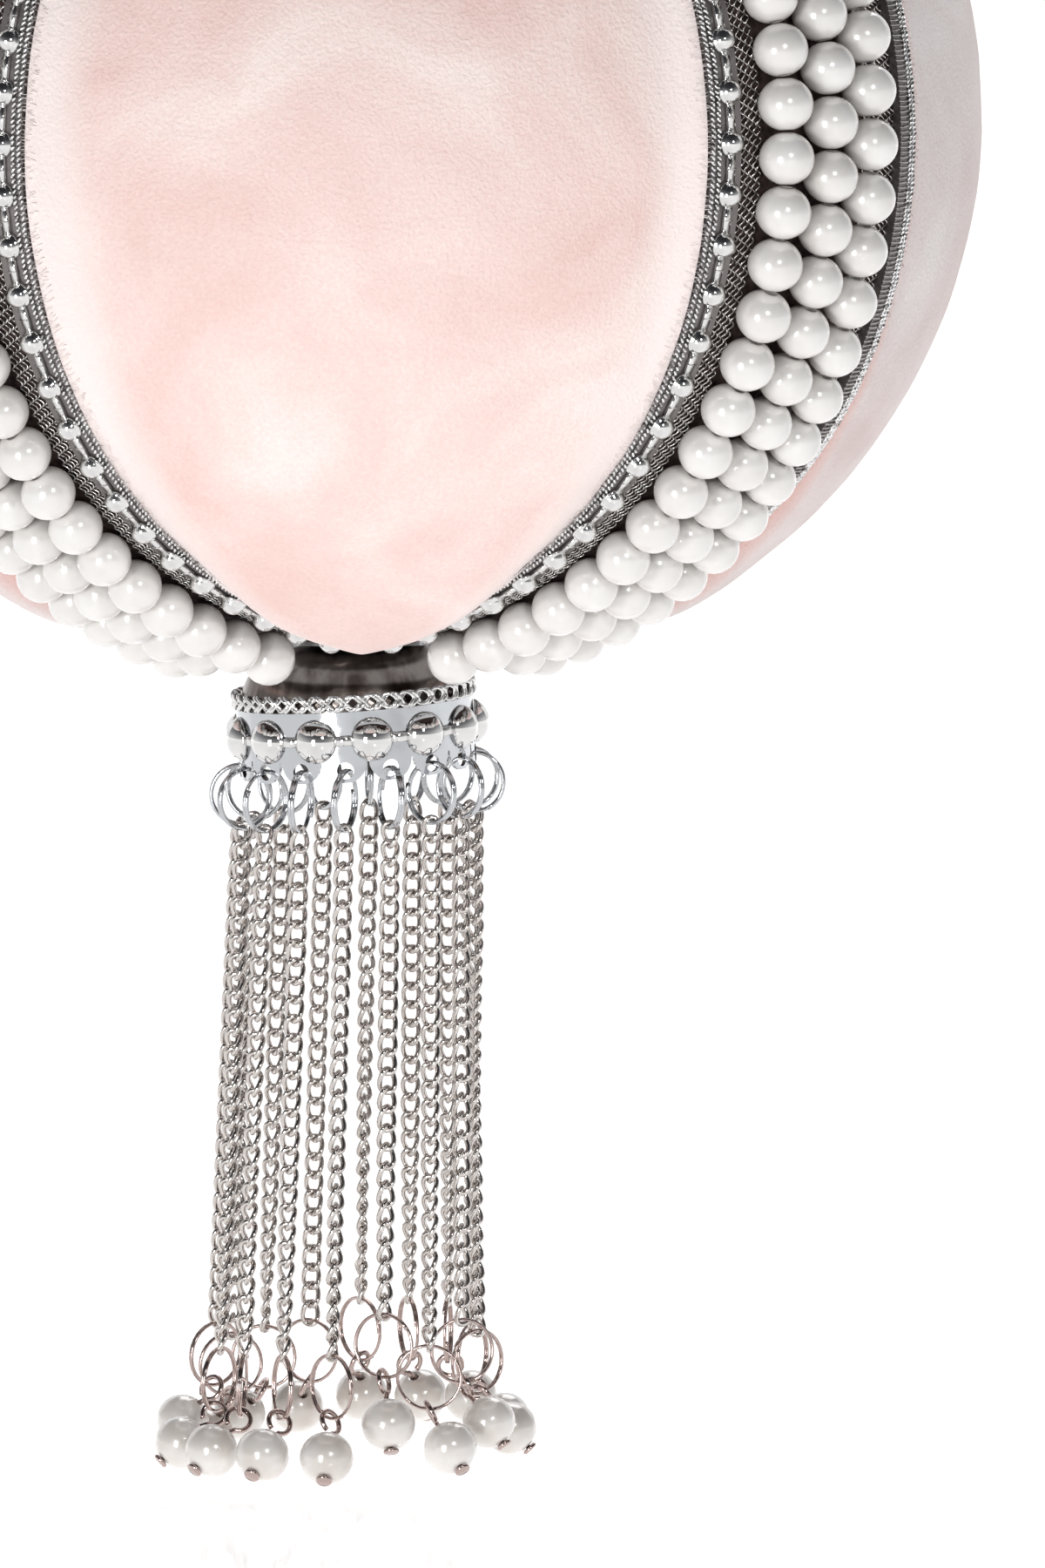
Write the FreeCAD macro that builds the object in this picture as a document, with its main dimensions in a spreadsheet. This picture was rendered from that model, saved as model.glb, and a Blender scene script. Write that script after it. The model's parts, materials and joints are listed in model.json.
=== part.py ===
import FreeCAD, Part
import math
import os

import Sketcher
from FreeCAD import Placement, Rotation, Vector

# A ball-shaped stuffed pillow that hangs from a ring: velvet gores, pearl bands, a bell cap and a tassel of
# sixteen chains with pearl drops. Millimetres, +Z up, -Y to the front. The origin is where the hanging ring
# bears on whatever carries it, and the ball's centre lies below it. Azimuths are counted from the front
# towards +X, and every piece is first made about the ball's centre.

doc = FreeCAD.newDocument("ring_bearer_pillow")

SIZES = [
    ("ball_drop", 89.4, "from the bearing point of the hanging ring down to the ball's centre"),
    ("reach", 90.0, "a length past every surface of the ball, for cutting shapes"),
    ("seam_turn", 20.0, "degrees that the ellipsoids' seams are turned from +X"),
    ("core_half_width", 68.0, "foam core"),
    ("core_half_height", 56.5, "foam core"),
    ("core_flat_height", 55.6, "foam core's flats above and below the centre"),
    ("rod_bore_radius", 2.2, "foam core's bore"),
    ("under_ribbon_half_width", 68.1, "inner face of ribbons and wadding"),
    ("under_ribbon_half_height", 56.6, "inner face of ribbons and wadding"),
    ("ribbon_half_width", 70.2, "outer face of the backed mesh ribbons"),
    ("ribbon_half_height", 58.4, "outer face of the backed mesh ribbons"),
    ("ribbon_end_radius", 16.5, "where ribbons and braids end near the poles"),
    ("wadding_half_width", 68.35, "outer face of the wadding pads"),
    ("wadding_half_height", 63.65, "outer face of the wadding pads"),
    ("wadding_flat_height", 56.55, "wadding's flats above and below the centre"),
    ("velvet_inner_half_width", 68.4, "back of the velvet"),
    ("velvet_inner_half_height", 63.7, "back of the velvet"),
    ("velvet_inner_flat_height", 56.6, "back of the velvet where it is folded under"),
    ("velvet_half_width", 69.2, "face of the velvet"),
    ("velvet_half_height", 64.5, "face of the velvet"),
    ("velvet_flat_height", 57.4, "face of the velvet where it is folded under"),
    ("band_azimuth", 43.7, "angle from the front to the middle of a pearl band"),
    ("band_half_span", 15.5, "half the width of a pearl band with its braids"),
    ("seam_gap", 0.05, "air between pieces that touch"),
    ("braid_base_half_width", 70.25, "inner face of both braids"),
    ("braid_base_half_height", 58.45, "inner face of both braids"),
    ("lurex_half_width", 71.0, "outer face of the flat lurex braid"),
    ("lurex_half_height", 59.2, "outer face of the flat lurex braid"),
    ("lurex_inner_edge", 11.6, "lurex braid's edge nearest the pearls"),
    ("gimp_half_width", 71.6, "outer face of the ribbed gimp braid"),
    ("gimp_half_height", 59.8, "outer face of the ribbed gimp braid"),
    ("gimp_inner_edge", 12.9, "gimp braid's edge nearest the pearls"),
    ("pearl_radius", 3.0, "pearl, across its string"),
    ("pearl_half_length", 2.875, "pearl, along its string"),
    ("pearl_bore_radius", 0.5, "hole through a pearl"),
    ("pearl_pitch", 5.8, "from pearl to pearl along a string"),
    ("pearl_half_width", 73.4, "surface that the pearls' centres lie on"),
    ("pearl_half_height", 61.65, "surface that the pearls' centres lie on"),
    ("pearl_end_radius", 24.0, "distance of a string's last pearl from the ball's axis"),
    ("dome_radius", 1.3, "half-ball chain's domes"),
    ("dome_pitch", 5.5, "half-ball chain's pitch"),
    ("dome_offset", 13.1, "half-ball chain from the middle of the band"),
    ("link_bar_width", 1.0, "flat bar between two domes"),
    ("link_bar_thickness", 0.45, "flat bar between two domes"),
    ("chain_half_width", 71.3, "surface that the half-ball chain lies on"),
    ("chain_half_height", 59.5, "surface that the half-ball chain lies on"),
    ("chain_end_radius", 20.5, "distance of the last dome from the ball's axis"),
    ("plate_radius", 16.2, "plates at the poles"),
    ("plate_inner_height", 57.0, "plate's inner face from the ball's centre"),
    ("plate_thickness", 0.5, "plates at the poles"),
    ("plate_boss_radius", 11.5, "plate's boss, which bears on the core"),
    ("plate_bore_radius", 2.15, "hole for the rod in the plates"),
    ("rod_radius", 2.0, "tie rod"),
    ("rod_bottom", 62.9, "tie rod's lower end from the ball's centre"),
    ("rod_top", 61.5, "tie rod's upper end from the ball's centre"),
    ("nut_corner_radius", 4.04, "hexagon nut across corners, halved"),
    ("nut_height", 3.2, "hexagon nut"),
    ("nut_bottom", 62.1, "nut's lower face from the ball's centre"),
    ("cap_zero_depth", 72.9, "lowest level of the cap below the ball's centre"),
    ("cap_shift", 0.9, "cap's axis from the ball's axis, towards -X"),
    ("cap_lean", 3.7, "degrees that the cap leans, its +X side up"),
    ("bell_hole_radius", 3.0, "hole for the rod in the bell"),
    ("bell_flat_radius", 5.3, "flat top of the bell"),
    ("bell_radius", 12.7, "bell's skirt, outside"),
    ("bell_inside_radius", 12.2, "bell's skirt, inside"),
    ("bell_top", 14.9, "heights on the cap are above its lowest level"),
    ("bell_inside_top", 14.4, "underside of the bell's flat top"),
    ("bell_shoulder", 7.5, "where the bell's round shoulder meets its skirt"),
    ("bell_skirt_end", 6.4, "lower edge of the bell's skirt"),
    ("bell_round", 7.4, "bell's shoulder radius, outside"),
    ("bell_inside_round", 6.9, "bell's shoulder radius, inside"),
    ("twist_inside_radius", 12.85, "twisted-wire ring"),
    ("twist_radius", 13.7, "twisted-wire ring"),
    ("twist_bottom", 7.95, "twisted-wire ring"),
    ("twist_top", 9.8, "twisted-wire ring"),
    ("band_inside_radius", 12.75, "scalloped band"),
    ("band_radius", 13.2, "scalloped band"),
    ("band_bottom", 0.1, "scalloped band"),
    ("band_top", 7.9, "scalloped band"),
    ("tab_radius", 2.45, "round end of a tab"),
    ("tab_hole_radius", 0.97, "hole in a tab"),
    ("tab_hole_height", 1.4, "middle of a tab's hole"),
    ("first_tab_azimuth", -7.0, "tab nearest the front"),
    ("strip_inside_radius", 13.25, "strip of half-ball studs"),
    ("strip_radius", 13.5, "strip of half-ball studs"),
    ("strip_bottom", 4.0, "strip of half-ball studs"),
    ("strip_top", 5.2, "strip of half-ball studs"),
    ("stud_height", 4.75, "middle of the studs"),
    ("stud_ball_radius", 2.75, "ball that a stud is a slice of"),
    ("stud_ball_offset", 12.15, "middle of that ball from the cap's axis"),
    ("jump_ring_radius", 3.325, "top jump ring, to the middle of its wire"),
    ("jump_wire_radius", 0.325, "top jump ring"),
    ("curb_radius", 1.05, "curb chain's envelope"),
    ("link_pitch", 2.1, "curb chain"),
    ("chain_start", 7.0, "chain's envelope starts this far below the tab's hole"),
    ("links_to_ring", 6.075, "hole to lower ring, less the links' length"),
    ("drop_ring_radius", 3.55, "lower jump ring, to the middle of its wire"),
    ("drop_wire_radius", 0.25, "lower jump ring"),
    ("drop_ring_yaw", 45.0, "lower jump ring's turn from the strand's radial plane"),
    ("strand_flare", 1.5, "degrees that a strand hangs outwards"),
    ("tassel_lean", 1.2, "degrees that every strand leans towards -X"),
    ("eye_offset", 0.5, "middle of the pin's loop from the ring's wire"),
    ("eye_radius", 1.35, "pin's loop, to the middle of its wire"),
    ("loop_wire_radius", 0.35, "wire of the pin's loop"),
    ("pin_radius", 0.3, "head pin's wire below the loop"),
    ("eye_yaw", 50.0, "loop's turn about the pin"),
    ("drop_pearl_offset", 5.4, "middle of the drop pearl from the ring's wire"),
    ("pin_head_radius", 0.9, "head pin's flat head"),
    ("pin_head_thickness", 0.45, "head pin's flat head"),
    ("pin_length", 8.75, "from the ring's wire to the end of the head"),
    ("collar_radius", 4.2, "eye's collar"),
    ("collar_height", 5.6, "eye's collar"),
    ("collar_bore_radius", 2.05, "eye's threaded bore"),
    ("eye_height", 66.6, "middle of the eye from the ball's centre"),
    ("eye_ring_radius", 3.4, "eye, to the middle of its bar"),
    ("eye_bar_radius", 1.1, "eye"),
    ("hanging_ring_radius", 12.0, "hanging ring, to the middle of its bar"),
    ("hanging_bar_radius", 1.2, "hanging ring"),
]
TAB_COUNT = 16
STUD_COUNT = 13
PEARL_ROWS = ((-7.7, 0.0), (-1.2, 0.5), (5.06, 0.1))  # offset from the band's middle, share of a pitch
LINK_COUNTS = (28, 26, 28, 27, 28, 28, 27, 27, 27, 28, 28, 28, 27, 28, 28, 28)
DROP_TILTS = (45, 25, 45, 40, 45, 45, 40, 35, 35, 50, 50, 30, 40, 50, 50, 50)

sheet = doc.addObject("Spreadsheet::Sheet", "sizes")
for row, (alias, value, meaning) in enumerate(SIZES, start=1):
    sheet.set(f"A{row}", meaning)
    sheet.set(f"B{row}", str(value))
    sheet.setAlias(f"B{row}", alias)
doc.recompute()


def size(alias):
    return float(sheet.get(alias))


def bind(item, **properties):
    """Ties each property to a formula, in which a word is a name in the sheet."""
    for name, formula in properties.items():
        item.setExpression(name, formula)
    return item


ball_frame = Placement(Vector(0, 0, -size("ball_drop")), Rotation())
cap_lean = Rotation(Vector(0, 1, 0), -size("cap_lean"))
cap_frame = (
    ball_frame
    * Placement(Vector(-size("cap_shift"), 0, size("bell_top") - size("cap_zero_depth")), cap_lean)
    * Placement(Vector(0, 0, -size("bell_top")), Rotation())
)
nodes = []


def finish(item, label, place=ball_frame):
    """Makes item a sub-part with this label, in its place under the hanging ring."""
    item.Label = label
    item.Placement = place
    nodes.append(item)
    return item


def turned(azimuth, x=0.0, y=0.0, z=0.0):
    """A place whose X axis points outwards at that azimuth, with its origin at x, y, z along its own axes."""
    facing = Placement(Vector(), Rotation(Vector(0, 0, 1), azimuth - 90))
    return facing * Placement(Vector(x, y, z), Rotation())


# Solids that the ball's pieces are cut from


def ellipsoid(name, layer):
    """A flattened ball of that layer's size, with its surface's own seam clear of every cut."""
    ball = bind(
        doc.addObject("Part::Ellipsoid", name),
        Radius1=f"sizes.{layer}_half_height",
        Radius2=f"sizes.{layer}_half_width",
        Radius3=f"sizes.{layer}_half_width",
    )
    ball.Placement = Placement(Vector(), Rotation(Vector(0, 0, 1), size("seam_turn")))
    return ball


def cylinder(name, radius, height, bottom):
    rod = bind(doc.addObject("Part::Cylinder", name), Radius=radius, Height=height)
    rod.setExpression("Placement.Base.z", bottom)
    return rod


def cut(name, base, tool):
    result = doc.addObject("Part::Cut", name)
    result.Base = base
    result.Tool = tool
    return result


def common(name, shapes):
    result = doc.addObject("Part::MultiCommon", name)
    result.Shapes = shapes
    return result


def fuse(name, shapes):
    result = doc.addObject("Part::MultiFuse", name)
    result.Shapes = shapes
    return result


def group(name, links):
    result = doc.addObject("Part::Compound", name)
    result.Links = links
    return result


def flattened(name, layer):
    """That layer's ball, cut flat above and below."""
    height = f"sizes.{layer}_flat_height"
    bar = cylinder(f"{name}_bar", "sizes.reach", f"2 * {height}", f"-{height}")
    return common(name, [ellipsoid(f"{name}_round", layer), bar])


def layer_between(name, inner, outer):
    return cut(name, ellipsoid(f"{name}_outside", outer), ellipsoid(f"{name}_inside", inner))


def slab(name, azimuth, low, high, backwards=False):
    """A tall block along the meridian at azimuth, from low to high across it."""
    reach = size("reach")
    block = bind(doc.addObject("Part::Box", name), Height="2 * sizes.reach")
    block.Length = 2 * reach if backwards else reach
    block.Width = high - low
    block.Placement = turned(azimuth, -reach if backwards else 0.0, low, -reach)
    return block


def quadrant(name, azimuth):
    """The quarter of space, between the planes of the gores' middles, that holds the band at azimuth."""
    gap = size("seam_gap")
    block = doc.addObject("Part::Box", name)
    bind(block, Length="sizes.reach", Width="sizes.reach", Height="2 * sizes.reach")
    start = 90 * math.floor(azimuth / 90)
    block.Placement = turned(start, gap, gap, -size("reach"))
    return block


# Core, tie rod and plates: the foam ball is clamped between two plates by a rod down its axis

core_bore = cylinder("core_bore", "sizes.rod_bore_radius", "2 * sizes.reach", "-sizes.reach")
finish(cut("core", flattened("core_ball", "core"), core_bore), "foam_core")

rod = cylinder("rod", "sizes.rod_radius", "sizes.rod_bottom + sizes.rod_top", "-sizes.rod_bottom")
finish(group("rod_group", [rod]), "tie_rod")

nut_bore = cylinder("nut_bore", "sizes.rod_radius + 0.05", "2 * sizes.reach", "-sizes.reach")
nut_bar = bind(
    doc.addObject("Part::Prism", "nut_bar"), Circumradius="sizes.nut_corner_radius", Height="sizes.nut_height"
)
nut_bar.Polygon = 6
nut_bar.setExpression("Placement.Base.z", "-sizes.nut_bottom")
finish(cut("nut", nut_bar, nut_bore), "rod_nut")


def plate(label, upside_down):
    inner = "sizes.plate_inner_height"
    boss_end = "sizes.core_flat_height + sizes.seam_gap"
    disc = cylinder(f"{label}_disc", "sizes.plate_radius", "sizes.plate_thickness", inner)
    boss = cylinder(f"{label}_boss", "sizes.plate_boss_radius", f"{inner} - ({boss_end})", boss_end)
    bore = cylinder(f"{label}_bore", "sizes.plate_bore_radius", "sizes.reach", "0")
    flip = Placement(Vector(), Rotation(Vector(1, 0, 0), 180 if upside_down else 0))
    return finish(cut(f"{label}_cut", fuse(f"{label}_body", [disc, boss]), bore), label, ball_frame * flip)


plate("top_plate", False)
plate("bottom_plate", True)

# Gores: each is a lens of wadding under a velvet panel, between the edges of two pearl bands. Both are flat
# at their tips, where the velvet is folded under.

front = size("band_azimuth")
GORES = (
    ("front", -front, front),
    ("right", front, 180 - front),
    ("back", 180 - front, 180 + front),
    ("left", 180 + front, 360 - front),
)
velvet_face = flattened("velvet_face", "velvet")
velvet_back = flattened("velvet_back", "velvet_inner")
velvet_layer = cut("velvet_layer", velvet_face, velvet_back)
wadding_back = ellipsoid("wadding_back", "under_ribbon")
wadding_layer = cut("wadding_layer", flattened("wadding_face", "wadding"), wadding_back)
gore_edge = size("band_half_span") + size("seam_gap")
wadding = []
for side, first, last in GORES:
    after_first = slab(f"{side}_after", first, gore_edge, size("reach"), backwards=True)
    before_last = slab(f"{side}_before", last, -size("reach"), -gore_edge, backwards=True)
    finish(common(f"{side}_velvet", [velvet_layer, after_first, before_last]), f"velvet_gore_{side}")
    wadding.append(common(f"{side}_wadding", [wadding_layer, after_first, before_last]))
finish(group("wadding_group", wadding), "wadding_pads")

# Bands: a backed mesh ribbon with a lurex braid beside the front or back gore and a gimp braid beside the
# side gore. outward is +1 where azimuths grow from the front or back gore towards the side gore.

BANDS = (
    ("front_right", front, 1),
    ("back_right", 180 - front, -1),
    ("back_left", 180 + front, 1),
    ("front_left", 360 - front, -1),
)
ribbon_layer = layer_between("ribbon_layer", "under_ribbon", "ribbon")
lurex_layer = layer_between("lurex_layer", "braid_base", "lurex")
gimp_layer = layer_between("gimp_layer", "braid_base", "gimp")
pole_bar = cylinder("pole_bar", "sizes.ribbon_end_radius", "2 * sizes.reach", "-sizes.reach")


def strip(name, azimuth, edges, layer):
    """A strip of one layer along the band at azimuth, mitred against its neighbours near the poles."""
    low, high = sorted(edges)
    across = slab(f"{name}_slab", azimuth, low, high)
    return cut(name, common(f"{name}_whole", [layer, across, quadrant(f"{name}_quarter", azimuth)]), pole_bar)


half_span = size("band_half_span")
lurex_strips = []
gimp_strips = []
for side, azimuth, outward in BANDS:
    ribbon = strip(f"{side}_ribbon", azimuth, (-half_span, half_span), ribbon_layer)
    finish(ribbon, f"mesh_ribbon_{side}")
    lurex_edges = (-outward * half_span, -outward * size("lurex_inner_edge"))
    lurex_strips.append(strip(f"{side}_lurex", azimuth, lurex_edges, lurex_layer))
    gimp_edges = (outward * half_span, outward * size("gimp_inner_edge"))
    gimp_strips.append(strip(f"{side}_gimp", azimuth, gimp_edges, gimp_layer))
finish(group("lurex_group", lurex_strips), "lurex_braids")
finish(group("gimp_group", gimp_strips), "gimp_braids")

# Pearls and half-ball chains follow the bands, evenly spaced along the meridian


def meridian_places(azimuth, offset, layer, end_radius, pitch, phase):
    """Places every pitch along a line parallel to the meridian at azimuth, from pole to pole. Each has its
    Z axis along the line, upwards, and its X axis out of the surface."""
    half_width = math.sqrt(size(f"{layer}_half_width") ** 2 - offset**2)
    half_height = half_width * size(f"{layer}_half_height") / size(f"{layer}_half_width")
    last = math.acos(math.sqrt(end_radius**2 - offset**2) / half_width)
    step = math.radians(0.02)
    places = []
    travelled = pitch * (1 - phase)
    latitude = -last
    while latitude < last:
        if travelled >= pitch:
            travelled -= pitch
            spot = Vector(half_width * math.cos(latitude), offset, half_height * math.sin(latitude))
            lean = math.atan2(half_width * math.sin(latitude), half_height * math.cos(latitude))
            facing = Rotation(Vector(0, 1, 0), -math.degrees(lean))
            places.append(turned(azimuth) * Placement(spot, facing))
        travelled += step * math.hypot(half_width * math.sin(latitude), half_height * math.cos(latitude))
        latitude += step
    return places


def bored_pearl():
    reach = math.degrees(math.asin(size("pearl_half_length") / size("pearl_radius")))
    ball = Part.makeSphere(size("pearl_radius"), Vector(), Vector(0, 0, 1), -reach, reach, 360)
    radius = size("pearl_radius")
    bore = Part.makeCylinder(size("pearl_bore_radius"), 4 * radius, Vector(0, 0, -2 * radius))
    return ball.cut(bore)


def copies(shape, places):
    result = []
    for place in places:
        copy = shape.copy()
        copy.Placement = place * copy.Placement
        result.append(copy)
    return result


def half_ball_chain(places):
    """Domes joined by flat bars, in one piece as it is stamped."""
    dome = Part.makeSphere(size("dome_radius"), Vector(), Vector(1, 0, 0), 0, 90, 360)
    pieces = copies(dome, places)
    width = size("link_bar_width")
    thickness = size("link_bar_thickness")
    for here, there in zip(places, places[1:]):
        length = here.Base.distanceToPoint(there.Base)
        bar = Part.makeBox(thickness, width, length, Vector(0, -width / 2, -length / 2))
        middle = (here.Base + there.Base) / 2
        bar.Placement = Placement(middle, here.Rotation.slerp(there.Rotation, 0.5)) * bar.Placement
        pieces.append(bar)
    return pieces[0].multiFuse(pieces[1:])


def feature(label, shape):
    item = doc.addObject("Part::Feature", label)
    item.Shape = shape
    return finish(item, label)


pearl = bored_pearl()
chains = []
for side, azimuth, outward in BANDS:
    pearls = []
    for offset, phase in PEARL_ROWS:
        row = (azimuth, outward * offset, "pearl", size("pearl_end_radius"), size("pearl_pitch"), phase)
        pearls += copies(pearl, meridian_places(*row))
    feature(f"pearl_band_{side}", Part.makeCompound(pearls))
    offset = -outward * size("dome_offset")
    domes = (azimuth, offset, "chain", size("chain_end_radius"), size("dome_pitch"), 0.5)
    chains.append(half_ball_chain(meridian_places(*domes)))
feature("half_ball_chains", Part.makeCompound(chains))

# Cap: a bell, a twisted-wire ring, a studded strip and a scalloped band, all leaning together. Their sketches
# are drawn in the XZ plane, with heights above the cap's lowest level, and turned about Z.


def make_body(name):
    return doc.addObject("PartDesign::Body", name)


def plane_of(body, role):
    return next(item for item in body.Origin.OriginFeatures if item.Role == role)


def closed_sketch(body, name, corners, rounds=None):
    """A closed outline in the body's XZ plane. Corners are pairs of names in the sheet, or 0 for the axis;
    rounds maps a side's number to (name of its radius, point that the round passes near)."""
    rounds = rounds or {}
    sketch = body.newObject("Sketcher::SketchObject", name)
    sketch.AttachmentSupport = [(plane_of(body, "XZ_Plane"), "")]
    sketch.MapMode = "FlatFace"
    points = [Vector(size(across), size(up), 0) for across, up in corners]
    count = len(points)
    for number in range(count):
        start, end = points[number], points[(number + 1) % count]
        if number in rounds:
            middle = Vector(*rounds[number][1], 0)
            if (middle - start).cross(end - start).z < 0:
                start, end = end, start
            sketch.addGeometry(Part.Arc(start, middle, end))
        else:
            sketch.addGeometry(Part.LineSegment(start, end))
    for number, (across, up) in enumerate(corners):
        end = joint_point(sketch, number, points[number])
        before = (number - 1) % count
        end_before = joint_point(sketch, before, points[number])
        sketch.addConstraint(Sketcher.Constraint("Coincident", number, end, before, end_before))
        for kind, alias in (("DistanceX", across), ("DistanceY", up)):
            index = sketch.addConstraint(Sketcher.Constraint(kind, -1, 1, number, end, size(alias)))
            sketch.setExpression(f"Constraints[{index}]", f"sizes.{alias}")
    for number, (alias, _) in rounds.items():
        index = sketch.addConstraint(Sketcher.Constraint("Radius", number, size(alias)))
        sketch.setExpression(f"Constraints[{index}]", f"sizes.{alias}")
    return sketch


def joint_point(sketch, number, point):
    """Which end of a side lies at point: 1 for its start, 2 for its end."""
    side = sketch.Geometry[number]
    return 1 if side.StartPoint.distanceToPoint(point) < side.EndPoint.distanceToPoint(point) else 2


def revolve(body, sketch):
    turn = body.newObject("PartDesign::Revolution", f"{body.Name}_turn")
    turn.Profile = sketch
    turn.ReferenceAxis = (sketch, ["V_Axis"])
    turn.Angle = 360
    sketch.Visibility = False
    return turn


def ring_body(name, inside, outside, bottom, top):
    body = make_body(name)
    corners = ((inside, bottom), (outside, bottom), (outside, top), (inside, top))
    revolve(body, closed_sketch(body, f"{name}_section", corners))
    return body


def pattern(body, feature_to_repeat, count):
    repeat = body.newObject("PartDesign::PolarPattern", f"{body.Name}_{feature_to_repeat.Name}_around")
    repeat.Originals = [feature_to_repeat]
    repeat.Axis = (plane_of(body, "Z_Axis"), [""])
    repeat.Angle = 360
    repeat.Occurrences = count
    body.Tip = repeat
    return repeat


bell = make_body("bell")
outer_mid = (
    size("bell_flat_radius") + size("bell_round") * math.sqrt(0.5),
    size("bell_shoulder") + size("bell_round") * math.sqrt(0.5),
)
inner_mid = (
    size("bell_flat_radius") + size("bell_inside_round") * math.sqrt(0.5),
    size("bell_shoulder") + size("bell_inside_round") * math.sqrt(0.5),
)
bell_section = closed_sketch(
    bell,
    "bell_section",
    (
        ("bell_hole_radius", "bell_top"),
        ("bell_flat_radius", "bell_top"),
        ("bell_radius", "bell_shoulder"),
        ("bell_radius", "bell_skirt_end"),
        ("bell_inside_radius", "bell_skirt_end"),
        ("bell_inside_radius", "bell_shoulder"),
        ("bell_flat_radius", "bell_inside_top"),
        ("bell_hole_radius", "bell_inside_top"),
    ),
    {1: ("bell_round", outer_mid), 5: ("bell_inside_round", inner_mid)},
)
revolve(bell, bell_section)
finish(bell, "bell_cap", cap_frame)

twist = ring_body("twist", "twist_inside_radius", "twist_radius", "twist_bottom", "twist_top")
finish(twist, "twisted_wire_ring", cap_frame)

studs = ring_body("studs", "strip_inside_radius", "strip_radius", "strip_bottom", "strip_top")
doc.recompute()
stud = bind(studs.newObject("PartDesign::AdditiveSphere", "stud"), Radius="sizes.stud_ball_radius")
stud.AttachmentSupport = [(plane_of(studs, "XY_Plane"), "")]
stud.MapMode = "FlatFace"
stud.setExpression("AttachmentOffset.Base.x", "sizes.stud_ball_offset")
stud.setExpression("AttachmentOffset.Base.z", "sizes.stud_height")
pattern(studs, stud, STUD_COUNT)
clearing = bind(
    studs.newObject("PartDesign::SubtractiveCylinder", "clearing"),
    Radius="sizes.strip_inside_radius",
    Height="sizes.bell_top",
)
clearing.AttachmentSupport = [(plane_of(studs, "XY_Plane"), "")]
clearing.MapMode = "FlatFace"
studs.Tip = clearing
finish(studs, "stud_strip", cap_frame)

tabs = ring_body("tabs", "band_inside_radius", "band_radius", "band_bottom", "band_top")


def radial_cut(body, name, outline, turn):
    """Cuts an outline, drawn in the XZ plane turned about Z, through one wall of a ring, all round it."""
    doc.recompute()
    volume = body.Shape.Volume
    sketch = body.newObject("Sketcher::SketchObject", f"{name}_outline")
    sketch.AttachmentSupport = [(plane_of(body, "XZ_Plane"), "")]
    sketch.MapMode = "FlatFace"
    sketch.AttachmentOffset = Placement(Vector(), Rotation(Vector(0, 1, 0), turn))
    for side in outline:
        sketch.addGeometry(side)
    pocket = body.newObject("PartDesign::Pocket", name)
    pocket.Profile = sketch
    pocket.Length = size("reach")
    pocket.Reversed = True
    sketch.Visibility = False
    pattern(body, pocket, TAB_COUNT)
    doc.recompute()
    if body.Shape.Volume > volume - 1:
        raise RuntimeError(f"{name} cuts nothing")


def notch_outline():
    """The gap between two round-ended tabs: a flat root between two quarter rounds, open downwards."""
    radius = size("tab_radius")
    half_pitch = math.pi * size("band_radius") / TAB_COUNT
    level = size("band_bottom") / 2
    foot = math.sqrt(radius**2 - (radius - level) ** 2)
    slant = radius * math.sqrt(0.5)
    root = Vector(half_pitch - radius, radius, 0)
    middle = Vector(half_pitch - slant, radius - slant, 0)
    toe = Vector(half_pitch - foot, level, 0)
    below = Vector(half_pitch - foot, -radius, 0)
    mirrored = [Vector(-point.x, point.y, 0) for point in (root, middle, toe, below)]
    return [
        Part.LineSegment(mirrored[0], root),
        Part.Arc(root, middle, toe),
        Part.LineSegment(toe, below),
        Part.LineSegment(below, mirrored[3]),
        Part.LineSegment(mirrored[3], mirrored[2]),
        Part.Arc(mirrored[2], mirrored[1], mirrored[0]),
    ]


hole_centre = Vector(0, size("tab_hole_height"), 0)
radial_cut(tabs, "hole", [Part.Circle(hole_centre, Vector(0, 0, 1), size("tab_hole_radius"))], 0)
radial_cut(tabs, "notch", notch_outline(), 180 / TAB_COUNT)
tab_turn = Placement(Vector(), Rotation(Vector(0, 0, 1), size("first_tab_azimuth")))
finish(tabs, "scalloped_band", cap_frame * tab_turn)

# Eye and hanging ring above the top plate. The eye screws onto the rod; the ring passes through it and
# swings about the line through the eye.



def torus(name, radius, bar_radius, place):
    ring = bind(doc.addObject("Part::Torus", name), Radius1=f"sizes.{radius}", Radius2=f"sizes.{bar_radius}")
    ring.Placement = place
    return ring


upright = Rotation(Vector(1, 0, 0), 90)
crosswise = Rotation(Vector(0, 1, 0), 90)
collar_foot = "sizes.plate_inner_height + sizes.plate_thickness + sizes.seam_gap"
collar = cylinder("collar", "sizes.collar_radius", "sizes.collar_height", collar_foot)
eye_place = Placement(Vector(0, 0, size("eye_height")), upright)
eye_ring = torus("eye_ring", "eye_ring_radius", "eye_bar_radius", eye_place)
collar_bore = cylinder("collar_bore", "sizes.collar_bore_radius", "sizes.rod_top + 0.3", "0")
finish(cut("eye", fuse("eye_body", [collar, eye_ring]), collar_bore), "top_eye")

hanging_place = Placement(Vector(0, 0, size("eye_height") + size("hanging_ring_radius")), crosswise)
hanging = torus("hanging", "hanging_ring_radius", "hanging_bar_radius", Placement())
finish(hanging, "hanging_ring", ball_frame * hanging_place)

# Tassel: each strand hangs from its tab's hole, and each drop from the ring at the strand's end. A strand is
# made with its origin at the hole, X outwards and Z up, and a drop with its origin at the ring's wire.

top_ring_place = Placement(Vector(0, 0, -size("jump_ring_radius")), upright)
top_ring = torus("top_ring", "jump_ring_radius", "jump_wire_radius", top_ring_place)


def strand_length(links):
    """From the tab's hole to the middle of the lower ring's wire at its lowest point."""
    return size("links_to_ring") + links * size("link_pitch") + 2 * size("drop_ring_radius")


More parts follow.
